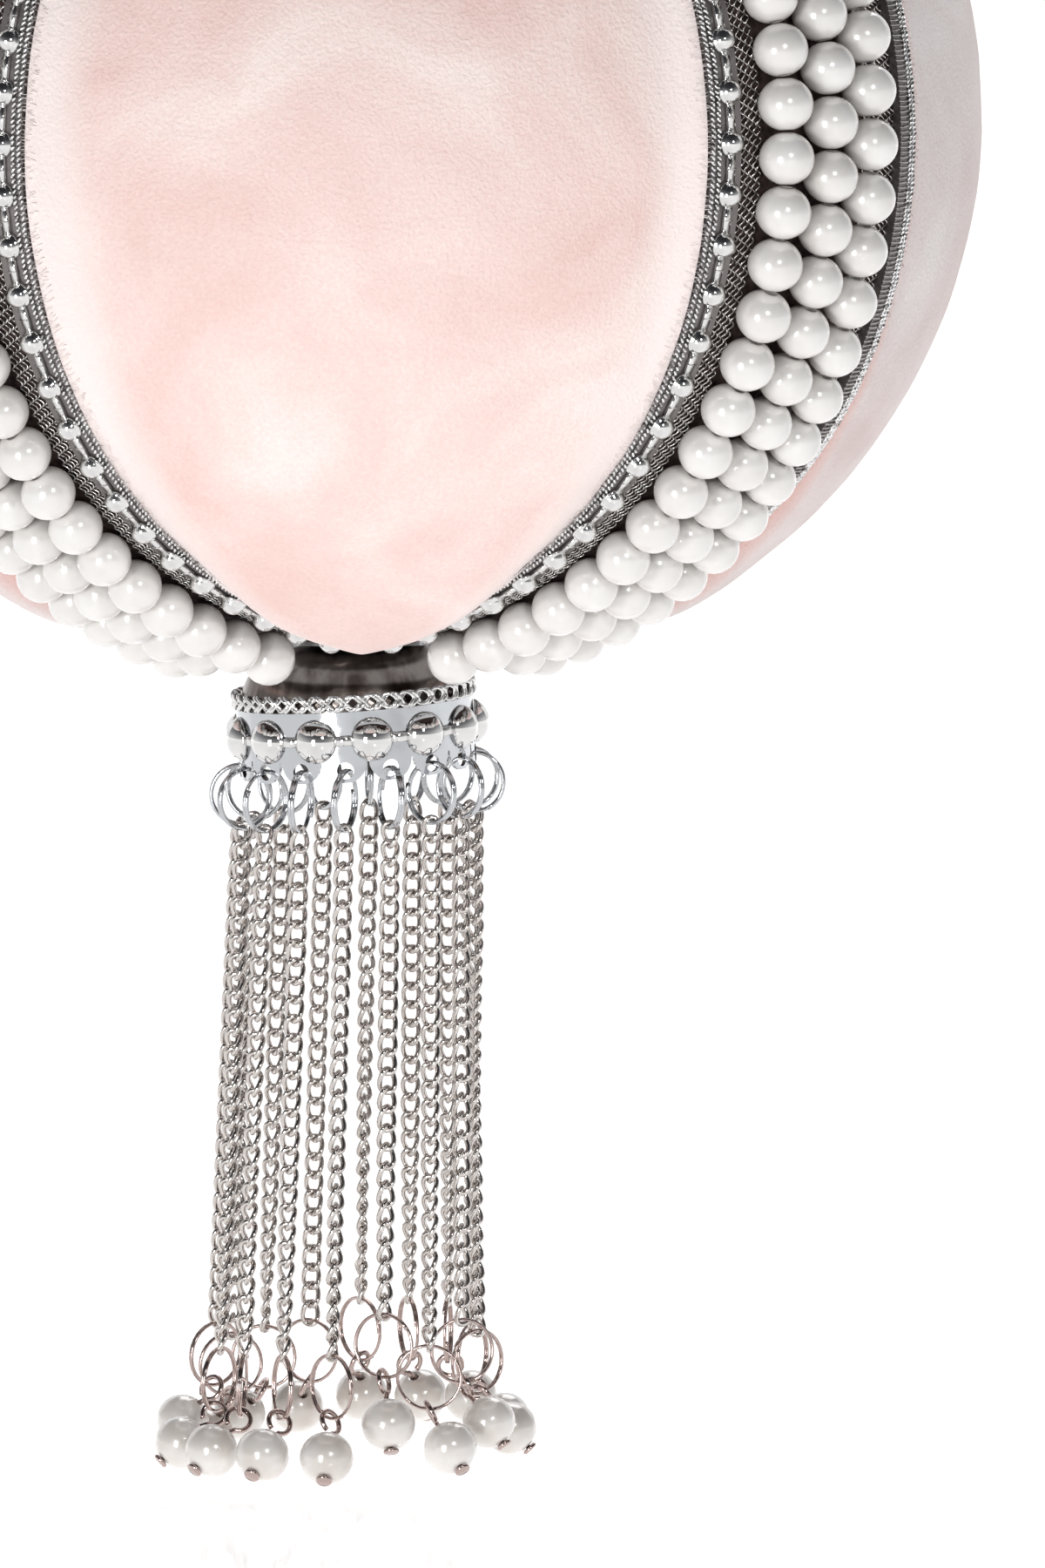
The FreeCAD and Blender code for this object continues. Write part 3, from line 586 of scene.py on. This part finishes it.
net = brown_net()
knit_silver = drawn_silver("knitted_silver_wire", "#e4e1de", 0.22)
for side, (azimuth, outward) in BANDS.items():
    dress(f"mesh_ribbon_{side}", net)
    knit = Piece()
    for strip in ((-12.0, -8.6), (7.6, 12.9)):
        wales = round((strip[1] - strip[0]) / 0.56)
        for wale in range(wales + 1):
            offset = outward * (strip[0] + 0.56 * wale) * MM
            path = []
            for index, station in enumerate(band_stations(azimuth, offset, *RIBBON, 18.5 * MM, 0.2 * MM)):
                spot, normal, along = station
                turn = 2 * math.pi * index / 6 + math.pi * wale
                loop = sideways(azimuth) * math.sin(turn) * 0.3 * MM
                path.append(spot + loop + normal * (0.16 + 0.1 * math.cos(turn)) * MM)
            knit.add(tube(path, 0.12 * MM, 4))
    knit.make(f"knitted_mesh_{side}", "root", [], [knit_silver])

# Braids. A lurex braid edges the velvet of the front and back gores with two rows of slanted stitches, and
# frays into short whiskers. A gimp braid edges the side gores: dark ribs bound by a double silver cord.


def stitch(length, width, height):
    """A plump stitch along X, its underside flat."""
    vertices = [Vector((-length / 2, 0, 0))]
    rings, sides = 4, 6
    for ring in range(1, rings):
        place = math.pi * ring / rings
        for corner in range(sides):
            turn = math.pi * corner / (sides - 1)
            size = math.sin(place)
            across, up = width / 2 * size * math.cos(turn), height * size * math.sin(turn)
            vertices.append(Vector((-length / 2 * math.cos(place), across, up)))
    vertices.append(Vector((length / 2, 0, 0)))
    faces = []
    for corner in range(sides):
        after = (corner + 1) % sides
        faces.append((0, 1 + after, 1 + corner))
        for ring in range(rings - 2):
            here, there = 1 + ring * sides, 1 + (ring + 1) * sides
            faces.append((here + corner, here + after, there + after, there + corner))
        end = 1 + (rings - 2) * sides
        faces.append((end + corner, end + after, len(vertices) - 1))
    return vertices, faces


def seat(spot, normal, along, lift=0.0, slant=0.0):
    """A place on a band: X along it, Z out of it, turned about Z by slant."""
    side = normal.cross(along)
    axes = Matrix((along, side, normal)).transposed().to_4x4()
    return Matrix.Translation(spot + normal * lift) @ axes @ Matrix.Rotation(slant, 4, "Z")


# The braids' ground is dark grey as painted shade: it stands for the shade in the crevices between the cords'
# stitches.
painted_shade_ground = drawn_silver("braid_ground_painted_shade", "#8b8685", 0.5)
rib_silver = drawn_silver("dull_silver_rib", "#b5b1af", 0.4)
lurex = drawn_silver("silver_lurex_cord", "#f0efef", 0.26)
dress("lurex_braids", painted_shade_ground)
dress("gimp_braids", painted_shade_ground)
LUREX_FACE = (71.0 * MM, 59.2 * MM)
GIMP_FACE = (71.6 * MM, 59.8 * MM)
cord_stitch = stitch(0.98 * MM, 0.4 * MM, 0.36 * MM)
rib_stitch = stitch(1.6 * MM, 0.34 * MM, 0.22 * MM)
for side, (azimuth, outward) in BANDS.items():
    braid = Piece()
    for offset in (-15.25, -14.5):
        for station in band_stations(azimuth, outward * offset * MM, *LUREX_FACE, 20.5 * MM, 0.58 * MM):
            turn = outward * 0.75 + random.uniform(-0.12, 0.12)
            braid.add(cord_stitch, seat(*station, lift=random.uniform(-0.05, 0.08) * MM, slant=turn))
    braid.make(f"lurex_cord_{side}", "root", [], [lurex])
    gimp = Piece()
    for station in band_stations(azimuth, outward * 13.5 * MM, *GIMP_FACE, 20.0 * MM, 0.55 * MM):
        gimp.add(rib_stitch, seat(*station, slant=math.pi / 2 + random.uniform(-0.1, 0.1)))
    for offset in (14.6, 15.25):
        for station in band_stations(azimuth, outward * offset * MM, *GIMP_FACE, 20.5 * MM, 0.5 * MM):
            turn = -outward * 0.7 + random.uniform(-0.1, 0.1)
            gimp.add(cord_stitch, seat(*station, lift=random.uniform(-0.05, 0.08) * MM, slant=turn), 1)
    gimp.make(f"gimp_cord_{side}", "root", [], [rib_silver, lurex])
    whiskers = Piece()
    inward = -sideways(azimuth) * outward
    for station in band_stations(azimuth, -outward * 15.3 * MM, *LUREX_FACE, FRAY_END, 0.26 * MM):
        spot, normal, along = station
        steepness = abs(normal.z)
        reach = random.uniform(0.3, 0.8 + 1.4 * steepness) * MM
        rise = normal * reach * random.uniform(0.1, 0.7)
        tip = spot + inward * reach + rise + along * random.uniform(-0.6, 0.6) * reach
        whiskers.add(blade(spot, tip, normal * 0.15 * MM, 0.055 * MM), finish=random.randrange(2))
    whiskers.make(f"lurex_whiskers_{side}", "root", [], [lurex, rib_silver])

# Half-ball chains. A stamped chain of polished half balls joined by flat bars lies on each lurex braid, held
# by stitches over its bars.

CHAIN_SEAT = (71.1 * MM, 59.3 * MM)
DOME_RADIUS = 1.38 * MM


def lathe(profile, segments):
    """A closed turned form about Z from (radius, height) points; a point on the axis closes it there."""
    vertices, rings = [], []
    for radius, height in profile:
        if radius < 1e-9:
            rings.append([len(vertices)] * segments)
            vertices.append(Vector((0, 0, height)))
            continue
        rings.append([len(vertices) + corner for corner in range(segments)])
        for corner in range(segments):
            turn = 2 * math.pi * corner / segments
            vertices.append(Vector((radius * math.cos(turn), radius * math.sin(turn), height)))
    faces = []
    looped = profile[0][0] > 1e-9
    for index in range(len(rings) if looped else len(rings) - 1):
        lower, upper = rings[index], rings[(index + 1) % len(rings)]
        for corner in range(segments):
            after = (corner + 1) % segments
            quad = (lower[corner], lower[after], upper[after], upper[corner])
            faces.append(tuple(dict.fromkeys(quad)))
    return vertices, faces


def half_ball(radius, brim):
    """A half ball whose foot turns out in a narrow brim."""
    profile = [(0.0, -0.15 * MM), (radius + brim, -0.15 * MM), (radius + brim, 0.08 * MM)]
    for step in range(9):
        lift = math.radians(8 + 82 * step / 8)
        profile.append((radius * math.cos(lift) if step < 8 else 0.0, radius * math.sin(lift)))
    return lathe(profile, 24)


def rounded_bar(length, width, thickness):
    """A flat bar along X with softened long edges."""
    section = [(-0.5, -0.5), (-0.5, 0.2), (-0.36, 0.5), (0.36, 0.5), (0.5, 0.2), (0.5, -0.5)]
    vertices = []
    for end in (-0.5, 0.5):
        vertices += [Vector((length * end, width * across, thickness * up)) for across, up in section]
    count = len(section)
    faces = [tuple(range(count)), tuple(range(2 * count - 1, count - 1, -1))]
    for corner in range(count):
        after = (corner + 1) % count
        faces.append((after, corner, count + corner, count + after))
    return vertices, faces


polished = silver_plate("polished_silver_plate", "#dfdedd", 0.03, 0.1, 0.02 * MM)
dome = half_ball(DOME_RADIUS, 0.12 * MM)
for side, (azimuth, outward) in BANDS.items():
    chain = Piece()
    stations = band_stations(azimuth, -outward * 13.1 * MM, *CHAIN_SEAT, 20.5 * MM, 5.5 * MM)
    for station in stations:
        chain.add(dome, seat(*station, lift=0.1 * MM))
    for here, there in zip(stations, stations[1:]):
        length = (there[0] - here[0]).length - 1.6 * DOME_RADIUS
        bar = rounded_bar(length, 1.0 * MM, 0.45 * MM)
        middle = [(before + after) / 2 for before, after in zip(here, there)]
        chain.add(bar, seat(middle[0], middle[1].normalized(), middle[2].normalized(), lift=0.25 * MM))
        spot, normal, along = middle[0], middle[1].normalized(), middle[2].normalized()
        knot = seat(spot, normal, along, lift=0.35 * MM, slant=math.pi / 2)
        chain.add(stitch(1.6 * MM, 0.26 * MM, 0.26 * MM), knot, 1)
    chain.make(f"half_ball_chain_{side}", "root", ["half_ball_chains"], [polished, lurex])

# Pearl bands. Three strings of 6 mm bored glass pearls lie side by side on each ribbon, each a little squat
# along its string, dipped in pearl lacquer.

PEARL_SEAT = (73.4 * MM, 61.65 * MM)
PEARL_ROWS = ((-7.7, 0.0), (-1.2, 0.5), (5.06, 0.1))
PEARL_RADIUS = 3.0 * MM
PEARL_HALF_LENGTH = 2.875 * MM
BORE_RADIUS = 0.5 * MM
PEARL_END = 24 * MM
PEARL_PITCH = 5.8 * MM


def bored_pearl():
    """A squat ball with a dimpled mouth at each end of its bore."""
    deep, shallow = 0.5 * MM, 0.12 * MM
    profile = [(BORE_RADIUS, deep - PEARL_HALF_LENGTH), (BORE_RADIUS * 1.15, shallow - PEARL_HALF_LENGTH)]
    start = math.degrees(math.asin(BORE_RADIUS * 1.7 / PEARL_RADIUS))
    steps = 16
    for step in range(steps + 1):
        turn = math.radians(start + (180 - 2 * start) * step / steps)
        profile.append((PEARL_RADIUS * math.sin(turn), -PEARL_HALF_LENGTH * math.cos(turn)))
    profile += [(radius, -height) for radius, height in profile[1::-1]]
    return lathe(profile, 28)


def pearl_lacquer(name, code, blush):
    """Pearl lacquer on glass: a satin white body under a clear gloss, with a blush bloom towards its rim and a
    faint cloudiness a few millimetres across."""
    values = {
        "Roughness": 0.24,
        "IOR": 1.6,
        "Specular IOR Level": 0.9,
        "Coat Weight": 1.0,
        "Coat Roughness": 0.12,
        "Coat IOR": 1.7,
        "Sheen Weight": 0.1,
        "Sheen Roughness": 0.4,
        "Sheen Tint": linear(blush),
    }
    material, tree, shader = new_material(name, values)
    place = surface_place(tree)
    clouds = add_node(tree, "ShaderNodeTexNoise", {"Scale": 220.0, "Detail": 2.0}, {"Vector": place})
    colour = colour_steps(tree, clouds.outputs["Fac"], ((0.3, code), (0.75, "#ebe9e6")))
    tree.links.new(colour, shader.inputs["Base Color"])
    relief(tree, shader, clouds.outputs["Fac"], 0.03 * MM)
    return material


pearl_finish = pearl_lacquer("white_pearl_lacquer", "#dfdbd7", "#f4cfc6")
pearl = bored_pearl()
for side, (azimuth, outward) in BANDS.items():
    strings = Piece()
    for offset, phase in PEARL_ROWS:
        stations = band_stations(azimuth, outward * offset * MM, *PEARL_SEAT, PEARL_END, PEARL_PITCH, phase)
        for spot, normal, along in stations:
            along = (along + normal * random.uniform(-0.06, 0.06)).normalized()
            across = normal.cross(along)
            axes = Matrix((across.cross(along) * -1, across, along)).transposed().to_4x4()
            shift = normal * random.uniform(-0.08, 0.08) * MM
            spin = Matrix.Rotation(random.uniform(0, math.pi), 4, "Z")
            strings.add(pearl, Matrix.Translation(spot + shift) @ axes @ spin)
    strings.make(f"pearl_strings_{side}", "root", [f"pearl_band_{side}"], [pearl_finish])

# Cap. A spun bell under its plate, painted dark with lighter streaks that are painted reflection, is held by
# the rod's nut. A twisted-wire ring, a strip of half-ball studs and a scalloped band with a hole in each of
# its tabs are soldered round it.


def nickel_painted_reflection():
    """Nickel plate on a spun bell: a mirror painted smoky brown, with lighter streaks down its sides, as
    painted reflection.
    """
    material, tree, shader = new_material("nickel_painted_reflection", {"Metallic": 1.0})
    place = surface_place(tree)
    stretch = add_node(tree, "ShaderNodeMapping", {"Scale": (1.0, 1.0, 0.04)}, {"Vector": place})
    links = {"Vector": stretch.outputs["Vector"]}
    streaks = add_node(tree, "ShaderNodeTexNoise", {"Scale": 420.0, "Detail": 3.0}, links)
    # Dark brown with lighter vertical streaks is painted reflection: it stands for the dark surroundings and
    # the pearls and velvet that the bell mirrors.
    colour = colour_steps(tree, streaks.outputs["Fac"], ((0.35, "#5a4f4b"), (0.6, "#9a918b")))
    tree.links.new(colour, shader.inputs["Base Color"])
    span = {"To Min": 0.12, "To Max": 0.3}
    gloss = add_node(tree, "ShaderNodeMapRange", span, {"Value": streaks.outputs["Fac"]})
    tree.links.new(gloss.outputs["Result"], shader.inputs["Roughness"])
    relief(tree, shader, streaks.outputs["Fac"], 0.05 * MM)
    return material


CAP_LEAN = math.radians(3.7)
CAP_ZERO_DEPTH = 72.9 * MM
CAP_SHIFT = 0.9 * MM
BELL_TOP = 14.9 * MM
bell_pivot = ball_centre + Vector((-CAP_SHIFT, 0, BELL_TOP - CAP_ZERO_DEPTH))
cap_lean = Matrix.Translation(bell_pivot) @ Matrix.Rotation(-CAP_LEAN, 4, "Y")
cap_seat = cap_lean @ Matrix.Translation((0, 0, -BELL_TOP))
dress("bell_cap", nickel_painted_reflection())
dress("scalloped_band", bright_plate)

twist = Piece()
TWIST_RADIUS = 13.28 * MM
TWIST_HEIGHT = 8.87 * MM
TWIST_SWING = 0.8 * MM
TWIST_WAVES = 20
for phase in (0.0, 0.8, math.pi, math.pi + 0.8):
    path = []
    steps = TWIST_WAVES * 12
    for step in range(steps):
        turn = 2 * math.pi * step / steps
        wave = TWIST_WAVES * turn + phase
        radius = TWIST_RADIUS + 0.24 * MM * math.sin(2 * wave)
        rise = Vector((0, 0, TWIST_HEIGHT + TWIST_SWING * math.cos(wave)))
        path.append(cap_seat @ (outwards(turn) * radius + rise))
    twist.add(tube(path, 0.22 * MM, 6, closed=True))
twist.make("twisted_wire_binding", "root", ["twisted_wire_ring"], [polished])

STUD_COUNT = 13
STUD_HEIGHT = 4.75 * MM
STRIP_RADIUS = 13.4 * MM
STUD_BALL = 2.75 * MM
STUD_DEPTH = 1.25 * MM
studs = Piece()
profile = [(0.0, -0.15 * MM), (2.45 * MM, -0.15 * MM)]
for step in range(10):
    lift = math.radians(27 + 63 * step / 9)
    profile.append((STUD_BALL * math.cos(lift) if step < 9 else 0.0, STUD_BALL * math.sin(lift) - STUD_DEPTH))
stud = lathe(profile, 28)
for number in range(STUD_COUNT):
    azimuth = math.pi / 2 + 2 * math.pi * number / STUD_COUNT
    out, along = outwards(azimuth), sideways(azimuth)
    studs.add(stud, cap_seat @ seat(out * STRIP_RADIUS + Vector((0, 0, STUD_HEIGHT)), out, along))
    middle = azimuth + math.pi / STUD_COUNT
    out, along = outwards(middle), sideways(middle)
    link = seat(out * STRIP_RADIUS + Vector((0, 0, STUD_HEIGHT)), out, along, lift=0.12 * MM)
    studs.add(rounded_bar(2.4 * MM, 1.1 * MM, 0.4 * MM), cap_seat @ link)
studs.make("half_ball_studs", "root", ["stud_strip"], [polished])

# Chains. From each tab hangs a split ring, a curb chain of twisted oval links that lie flat and hook into each
# other, and another split ring, of thinner wire that has worn to a rose tint.

JUMP_RADIUS = 3.325 * MM
JUMP_WIRE = 0.26 * MM
LOWER_RADIUS = 3.55 * MM
LOWER_WIRE = 0.19 * MM
LINK_PITCH = 2.1 * MM
FIRST_LINK = 7.4 * MM
STRAND_FLARE = math.radians(1.5)
LOWER_YAW = math.radians(45)


def curb_link():
    """An oval of 0.62 mm wire, 3.3 x 2.4 mm, twisted so that its neighbours lie in line with it."""
    path = []
    steps = 20
    for step in range(steps):
        turn = 2 * math.pi * step / steps
        path.append(Vector((0.87 * math.sin(turn), 0.36 * math.sin(2 * turn), 1.35 * math.cos(turn))) * MM)
    return tube(path, 0.31 * MM, 8, closed=True)


def split_ring(radius, wire):
    """Nearly two turns of wire side by side, in the XZ plane."""
    path = []
    turns, steps = 1.85, 60
    for step in range(steps + 1):
        turn = 2 * math.pi * turns * step / steps
        aside = wire * (2.1 * step / steps - 1.05)
        path.append(Vector((radius * math.cos(turn), aside, radius * math.sin(turn))))
    return tube(path, wire, 7)


rose_plate = silver_plate("rose_tinted_plate", "#b9a7a2", 0.08, 0.2, 0.02 * MM)
chain_plate = silver_plate("bright_chain_plate", "#cfc9c5", 0.08, 0.18, 0.02 * MM)
link = curb_link()
joints = {joint["name"]: joint for joint in frame["joints"]}
strand_places = []
for number in range(1, 17):
    swing = joints[f"strand_{number:02d}_swing"]
    hole = Vector(swing["pos_m"])
    drop_at = Vector(joints[f"drop_{number:02d}_swing"]["pos_m"])
    side = -Vector(swing["axis"]).normalized()
    up = (hole - drop_at).normalized()
    flared = Matrix((side.cross(up), side, up)).transposed().to_4x4()
    axes = flared @ Matrix.Rotation(STRAND_FLARE, 4, "Y")
    strand = Matrix.Translation(hole) @ flared
    length = (drop_at - hole).length
    links = round((length - FIRST_LINK + 1.325 * MM - 2 * LOWER_RADIUS) / LINK_PITCH)
    strand_places.append((drop_at, axes))
    node = f"chain_{number:02d}"
    body = f"strand_{number:02d}"

    top = Piece()
    yaw = Matrix.Rotation(random.uniform(-0.35, 0.35), 4, "Z")
    spin = Matrix.Translation((0, 0, -JUMP_RADIUS)) @ Matrix.Rotation(random.uniform(0, 6), 4, "Y")
    top.add(split_ring(JUMP_RADIUS, JUMP_WIRE), strand @ yaw @ spin)
    top.make(f"top_split_ring_{number:02d}", body, [node], [bright_plate])

    curb = Piece()
    yaw = random.uniform(-0.7, 0.7) - math.atan2(side.cross(up).y, side.cross(up).x)
    twist_step = random.uniform(-0.09, 0.09)
    for index in range(links):
        yaw += twist_step + random.uniform(-0.12, 0.12)
        below = Matrix.Translation((0, 0, -FIRST_LINK - LINK_PITCH * index))
        curb.add(link, strand @ below @ Matrix.Rotation(yaw, 4, "Z"))
    curb.make(f"curb_chain_{number:02d}", body, [node], [chain_plate])

    lower = Piece()
    spin = Matrix.Rotation(LOWER_YAW, 4, "Z") @ Matrix.Rotation(random.uniform(0, 6), 4, "Y")
    hung = strand @ Matrix.Translation((0, 0, LOWER_RADIUS - length))
    lower.add(split_ring(LOWER_RADIUS, LOWER_WIRE), hung @ spin)
    lower.make(f"lower_split_ring_{number:02d}", body, [node], [rose_plate])

# Drops. A rose-tinted head pin carries one pearl on each lower ring: its wire is turned into an eye above the
# pearl, and its flat head holds the pearl from below. The drops tilt outwards where they rest on the floor.

DROP_TILTS = (45, 25, 45, 40, 45, 45, 40, 35, 35, 50, 50, 30, 40, 50, 50, 50)
EYE_DEPTH = 0.5 * MM
EYE_RADIUS = 1.35 * MM
EYE_YAW = math.radians(50)
PIN_LENGTH = 8.75 * MM
PEARL_DEPTH = 5.4 * MM


def head_pin():
    """Wire bent into an eye and run down through the pearl, with a flat round head."""
    path = []
    steps = 22
    for step in range(steps + 1):
        turn = math.radians(250 - 320 * step / steps)
        path.append(Vector((0, EYE_RADIUS * math.cos(turn), EYE_RADIUS * math.sin(turn) - EYE_DEPTH)))
    path += [Vector((0, 0.35 * MM, -2.0 * MM)), Vector((0, 0.05 * MM, -2.6 * MM)), Vector((0, 0, -3.4 * MM))]
    path.append(Vector((0, 0, 0.2 * MM - PIN_LENGTH)))
    vertices, faces = tube(path, 0.3 * MM, 8)
    return [Matrix.Rotation(EYE_YAW, 4, "Z") @ vertex for vertex in vertices], faces


def pin_head():
    """A pressed disc with a softened edge."""
    rim, thick = 0.9 * MM, 0.45 * MM
    face = rim * 0.85
    profile = [(0.0, 0.0), (face, 0.0), (rim, thick * 0.3), (rim, thick * 0.7), (face, thick), (0.0, thick)]
    return lathe(profile, 18)


drop_lacquer = pearl_lacquer("cream_pearl_lacquer", "#cfc6bd", "#f6d8cd")
for number, ((drop_at, axes), tilt) in enumerate(zip(strand_places, DROP_TILTS), start=1):
    hung = Matrix.Translation(drop_at) @ axes @ Matrix.Rotation(math.radians(-tilt), 4, "Y")
    node, body = f"pearl_drop_{number:02d}", f"drop_{number:02d}"
    pin = Piece()
    pin.add(head_pin(), hung)
    pin.add(pin_head(), hung @ Matrix.Translation((0, 0, -PIN_LENGTH)))
    pin.make(f"head_pin_{number:02d}", body, [node], [rose_plate])
    bead = Piece()
    bead.add(pearl, hung @ Matrix.Translation((0, 0, -PEARL_DEPTH)))
    bead.make(f"drop_bead_{number:02d}", body, [node], [drop_lacquer])

# Eye and hanging ring. A cast eye screws onto the rod above the top plate, and a bright ring swings in it.

dress("top_eye", bright_plate)
dress("hanging_ring", bright_plate)
